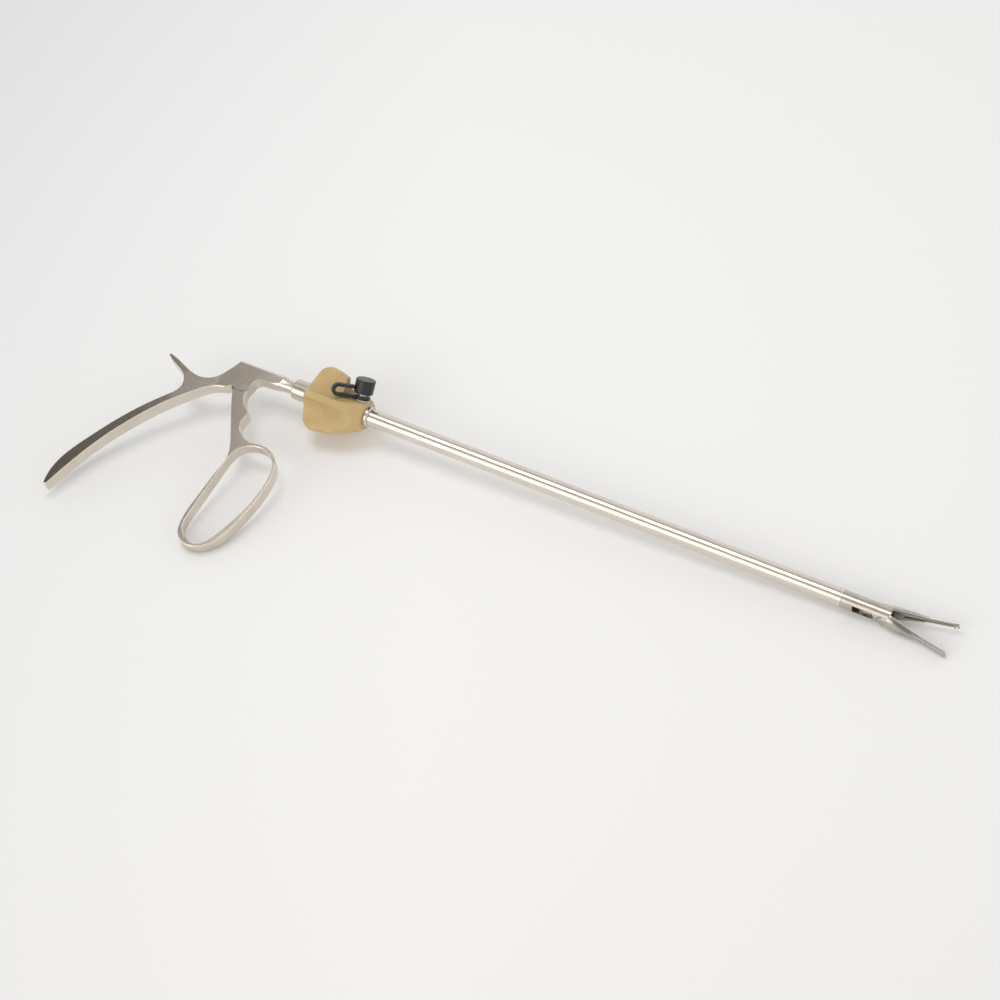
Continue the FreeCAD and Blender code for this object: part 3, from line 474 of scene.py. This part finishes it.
def painted_groove_light(name, stops, open_degrees):
    """Jaw steel with light and shade painted on its two side faces: the light and dark lines of
    fine grooves ground along the jaw, and darker reflections there, are painted into its colour as
    bands.
    The colour follows the distance |y| from the gripping face, with the jaw turned back to closed
    about its pivot, and the ramp's stops run over 4 mm of it."""
    pivot_at, band_depth = (0.317, 0.0, 0.0), 0.004
    made = tumbled(name, edge_mm=0.25)
    tree = made.node_tree
    shader = tree.nodes["Principled BSDF"]
    plain = shader.inputs["Base Color"].links[0].from_socket
    place = add(tree, "TexCoord")
    own = add(tree, "Mapping", {"Rotation": Matrix(AXES.tolist()).to_euler()},
              {"Vector": place.outputs["Object"]})
    moved = add(tree, "VectorMath", {"operation": "SUBTRACT", 1: pivot_at}, {0: own.outputs[0]})
    closed = add(tree, "Mapping", {"Rotation": (0.0, 0.0, np.radians(-open_degrees))},
                 {"Vector": moved.outputs[0]})
    along, out = add(tree, "SeparateXYZ", {}, {0: closed.outputs[0]}).outputs[:2]
    depth = add(tree, "Math", {"operation": "ABSOLUTE"}, {0: out}).outputs[0]
    across_band = add(tree, "MapRange", {"From Max": band_depth}, {"Value": depth}).outputs[0]
    painted_bands = shades(tree, across_band, stops)
    # Only the two side faces take the painted bands of light and shade, and only past the pivot's
    # round boss.
    facing = add(tree, "VectorMath", {"operation": "DOT_PRODUCT", 1: AXES[2].tolist()},
                 {0: place.outputs["Normal"]}).outputs["Value"]
    side = add(tree, "Math", {"operation": "ABSOLUTE"}, {0: facing}).outputs[0]
    flat = add(tree, "MapRange", {"From Min": 0.35, "From Max": 0.7}, {"Value": side}).outputs[0]
    past = add(tree, "MapRange", {"From Min": 0.008, "From Max": 0.012},
               {"Value": along}).outputs[0]
    painted_band_mask = add(tree, "Math", {"operation": "MULTIPLY"}, {0: flat, 1: past}).outputs[0]
    factor, colour_a, colour_b, colour_out = 0, 6, 7, 2
    mix = add(tree, "Mix", {"data_type": "RGBA"})
    for key, output in ((factor, painted_band_mask), (colour_a, plain), (colour_b, painted_bands)):
        tree.links.new(output, mix.inputs[key])
    tree.links.new(mix.outputs[colour_out], shader.inputs["Base Color"])
    return made


# Painted light for the two jaws, lit and shaded copies of one steel: the upper jaw's bright band
# and the lower jaw's light lines are painted highlights, and the lower jaw's dark bands are painted
# shade.
UPPER_PAINTED_LIGHT = [(0.0, "#A8A29A"), (0.28, "#ACA69E"), (0.34, "#F2F0EC"), (0.42, "#ECEAE6"),
         (0.5, "#CCCAC6"), (1.0, "#D6D4D0")]
LOWER_PAINTED_LIGHT = [(0.0, "#E8E5E0"), (0.23, "#F2F0EC"), (0.27, "#434241"), (0.34, "#4C4B4A"),
         (0.355, "#E2E0DC"), (0.395, "#E2E0DC"), (0.41, "#3E3D3C"), (0.49, "#454443"),
         (0.505, "#D0CECA"), (0.56, "#C0BEBA"), (0.6, "#5A5957"), (1.0, "#B9B6B1")]
OPEN_DEGREES = 10.6
upper_painted_light_steel = painted_groove_light("jaw_steel_painted_light_upper", UPPER_PAINTED_LIGHT, OPEN_DEGREES)
smooth_copy("upper_jaw", upper_painted_light_steel)
lower_painted_light_steel = painted_groove_light("jaw_steel_painted_light_lower", LOWER_PAINTED_LIGHT, -OPEN_DEGREES)
smooth_copy("lower_jaw", lower_painted_light_steel)

# Drive rod: ground stainless rod with a ball at the trigger's end and a flat blade at the jaws'.
# The spring seat is fixed on it, and the drive pin crosses its blade.
for node in ("push_rod", "rod_ball", "spring_seat"):
    smooth_copy(node, turned_steel)
for node in ("rod_tip", "drive_pin"):
    smooth_copy(node, jaw_steel)

# Flush port: a turned stainless luer fitting, standing square to the shaft in the knob's well.
# Its two lugs keep the strap's ring on.
smooth_copy("flush_port", turned_steel)


# Port cap: moulded black silicone, a cup with a plug inside that seals the luer. Its top edge
# is rounded where the thumb pushes it on.
def on_port(grid):
    """Points drawn with the port along X, moved to the port: x along its axis, y aside, and z
    along the shaft towards the handle."""
    port = np.radians(PORT_DEGREES)
    axis = np.array([0, np.sin(port), np.cos(port)])
    back = np.array([-1.0, 0, 0])
    aside = np.cross(axis, back)
    return np.array([PORT_X, 0, 0]) + grid @ np.array([axis, aside, back])


cap_profile = rounded([(20.1, 0), (20.1, 5.35), (19.7, 5.75), (12, 5.55), (12, 4.05),
                       (18.2, 4.05), (18.2, 2.05), (13.4, 2.05), (13.4, 0)],
                      radius=0.45, steps=6, closed=False)
cap = skin("port_cap_shown", on_port(lathe(cap_profile, 120)), "cap", rubber)
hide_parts("port_cap")


# Cap strap: a flat silicone band that grows from a ring under the port's lugs, loops back over
# itself and runs to the cap, so that the cap isn't lost.
def band(path, profile):
    """A profile of (aside, out) carried along a flat path: each point of the path plus out times
    its normal, plus aside."""
    p = np.asarray(path, float)
    on = np.gradient(p, axis=0)
    on /= np.linalg.norm(on, axis=1)[:, None]
    normal = np.stack([-on[:, 1], on[:, 0]], 1)
    q = np.asarray(profile, float)
    grid = np.empty((len(p), len(q), 3))
    grid[..., :2] = p[:, None] + normal[:, None] * q[None, :, 1:]
    grid[..., 2] = q[None, :, 0]
    return grid


def closed_ends(grid):
    """The same grid with two more rows, each drawn in to the middle of an end row."""
    first, last = grid[:1].mean(1, keepdims=True), grid[-1:].mean(1, keepdims=True)
    rows = np.ones((1, grid.shape[1], 1))
    return np.vstack([first * rows, grid, last * rows])


# The band's lower run lies at this level above the shaft's axis. Its loop rises and reaches this
# far, and its two runs start and stop this far from the port's axis.
level, rise, reach, start, stop = 9.45, 5.6, 17.8, 3.6, 6.1
bend = rise / 2
loop = np.vstack([np.linspace((level, start), (level, reach - bend), 30)[:-1],
                  arc((level, reach - bend), (level + bend, reach),
                      (level + rise, reach - bend), 50),
                  np.linspace((level + rise, reach - bend), (level + rise, stop), 24)[1:]])
section = rounded([(-1.5, -1), (1.5, -1), (1.5, 1), (-1.5, 1)], radius=0.6)
strap_turn = np.radians(46)
out_way = np.array([0, np.sin(strap_turn), np.cos(strap_turn)])
across = np.array([0, np.cos(strap_turn), -np.sin(strap_turn)])
raw = closed_ends(band(loop, section))
strap_grid = raw[..., :1] * np.array([1.0, 0, 0]) + raw[..., 1:2] * out_way + raw[..., 2:] * across
strap = skin("cap_strap_shown", on_port(strap_grid), "shaft", rubber, crease=50)
ring_profile = rounded([(8.6, 2.75), (8.6, 4.6), (10.3, 4.6), (10.3, 2.75)], radius=0.35)
skin("strap_ring", on_port(lathe(ring_profile, 96)), "shaft", rubber,
     closed_rows=True, crease=50)
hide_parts("cap_strap")

# Table: a seamless pale sheet under soft studio light. It is staging and not part of the object.
TABLE_Z = cad_box[0][2]
SHEET_HALF = 6.0
pale = bpy.data.meshes.new("table")
sheet_corners = [(-SHEET_HALF, -SHEET_HALF), (SHEET_HALF, -SHEET_HALF), (SHEET_HALF, SHEET_HALF),
                 (-SHEET_HALF, SHEET_HALF)]
pale.from_pydata([(x, y, TABLE_Z) for x, y in sheet_corners], [], [(0, 1, 2, 3)])
table = placed("table", pale)
paper, paper_tree, paper_shader = material("pale_studio_sheet")
paper_shader.inputs["Roughness"].default_value = 0.7
paper_shader.inputs["Specular IOR Level"].default_value = 0.2
sheet_place = add(paper_tree, "TexCoord").outputs["Object"]
sheet_cloud = add(paper_tree, "TexNoise", {"Scale": 1.5, "Detail": 1.0},
                  {"Vector": sheet_place}).outputs[0]
# Light is painted into the sheet's colour: it pales from the camera's left to its right, a painted
# pool of light, so the ramp follows the place along that line, with a little of the noise.
rightward = (np.array([0.87, 0.49, 0.0]) @ AXES).tolist()
sideways = add(paper_tree, "VectorMath", {"operation": "DOT_PRODUCT", 1: rightward},
               {0: sheet_place}).outputs["Value"]
painted_light_across_sheet = add(paper_tree, "MapRange", {"From Min": -0.3, "From Max": 0.4},
                   {"Value": sideways}).outputs[0]
mottle_and_painted_light = add(paper_tree, "Math", {"operation": "MULTIPLY_ADD", 1: 0.04},
              {0: sheet_cloud, 2: painted_light_across_sheet}).outputs[0]
sheet_tone_and_painted_light = shades(paper_tree, mottle_and_painted_light, [(0.0, "#E9EBED"), (0.5, "#FAFBFC"), (1.0, "#FDFEFF")])
paper_tree.links.new(sheet_tone_and_painted_light, paper_shader.inputs["Base Color"])
table.data.materials.append(paper)


# Light: two large softboxes, one overhead and one beside the trigger, a black card and a pale
# room.
def softbox(name, place_mm, size_mm, radiance, colour):
    """A rectangular lamp aimed at the shaft. Its power is radiance times pi times its area."""
    aim_mm, upwards = (60.0, -30.0, 0.0), (0, 1, 0.2)
    data = bpy.data.lights.new(name, "AREA")
    data.shape = "RECTANGLE"
    data.size, data.size_y = size_mm[0] / MM_PER_M, size_mm[1] / MM_PER_M
    data.energy = radiance * np.pi * data.size * data.size_y
    data.color = linear(colour)[:3]
    lamp = placed(name, data)
    place = laid(place_mm)
    aim = laid(aim_mm) - place
    back = -aim / np.linalg.norm(aim)
    across = np.cross(upwards, back)
    across /= np.linalg.norm(across)
    columns = np.column_stack([across, np.cross(back, across), back, place])
    lamp.matrix_world = Matrix(np.vstack([columns, [0, 0, 0, 1]]).tolist())


softbox("overhead_box", (-200, 215, 1000), (560, 440), radiance=3.2, colour="#F8FBFF")
softbox("side_box", (-400, -880, 740), (920, 760), radiance=1.15, colour="#FFF3E4")
# The black card stands where the palm arm's face looks up to, so that the arm shades as dark as
# in the photograph. Only reflections show it.
card = bpy.data.meshes.new("black_card")
card_corners = [(-1250, -300, 1000), (-612, -300, 1000), (-612, 485, 1000), (-1250, 485, 1000)]
card.from_pydata(laid(card_corners).tolist(), [], [(0, 1, 2, 3)])
flag = placed("black_card", card)
felt, felt_tree, felt_shader = material("black_felt")
felt_place = add(felt_tree, "TexCoord").outputs["Object"]
felt_cloud = add(felt_tree, "TexNoise", {"Scale": 400.0}, {"Vector": felt_place}).outputs[0]
felt_shade = shades(felt_tree, felt_cloud, [(0.3, "#3A3027"), (0.7, "#42372D")])
felt_tree.links.new(felt_shade, felt_shader.inputs["Base Color"])
felt_shader.inputs["Roughness"].default_value = 0.9
flag.data.materials.append(felt)
flag.visible_camera = flag.visible_diffuse = flag.visible_shadow = False
# The room is pale near the horizon, and darker and warmer towards its ceiling.
room = bpy.data.worlds.new("pale_room")
room.use_nodes = True
bpy.context.scene.world = room
tree = room.node_tree
sky = tree.nodes["Background"]
heading = add(tree, "TexCoord").outputs["Generated"]
up = add(tree, "SeparateXYZ", {}, {0: heading}).outputs[2]
glow = shades(tree, up, [(0.0, "#EFF0F2"), (0.45, "#F0F0F0"), (0.62, "#D9D9D9"), (0.82, "#BBB6AF")])
tree.links.new(glow, sky.inputs["Color"])
sky.inputs["Strength"].default_value = 1.07

# Camera: fitted to the photograph. TURN holds its right, up and backward axes, and PLACE_MM is
# where it stands, both on the instrument's axes. The focal length is in the photograph's pixels.
TURN = np.array([[0.85428, 0.48141, -0.19609], [-0.33190, 0.79548, 0.50701],
                 [0.40006, -0.36804, 0.83934]])
PLACE_MM = (748.8, -619.7, 1370.8)
FOCAL_PIXELS, PHOTO_PIXELS, SENSOR_MM = 2973.3, 1000, 36.0
lens = bpy.data.cameras.new("photograph")
lens.sensor_width = SENSOR_MM
lens.lens = FOCAL_PIXELS / PHOTO_PIXELS * SENSOR_MM
lens.clip_end = 60.0
camera = placed("photograph", lens)
columns = np.column_stack([(TURN @ AXES).T, laid(PLACE_MM)])
camera.matrix_world = Matrix(np.vstack([columns, [0, 0, 0, 1]]).tolist())
bpy.context.scene.camera = camera
bpy.context.scene.view_settings.view_transform = "Standard"
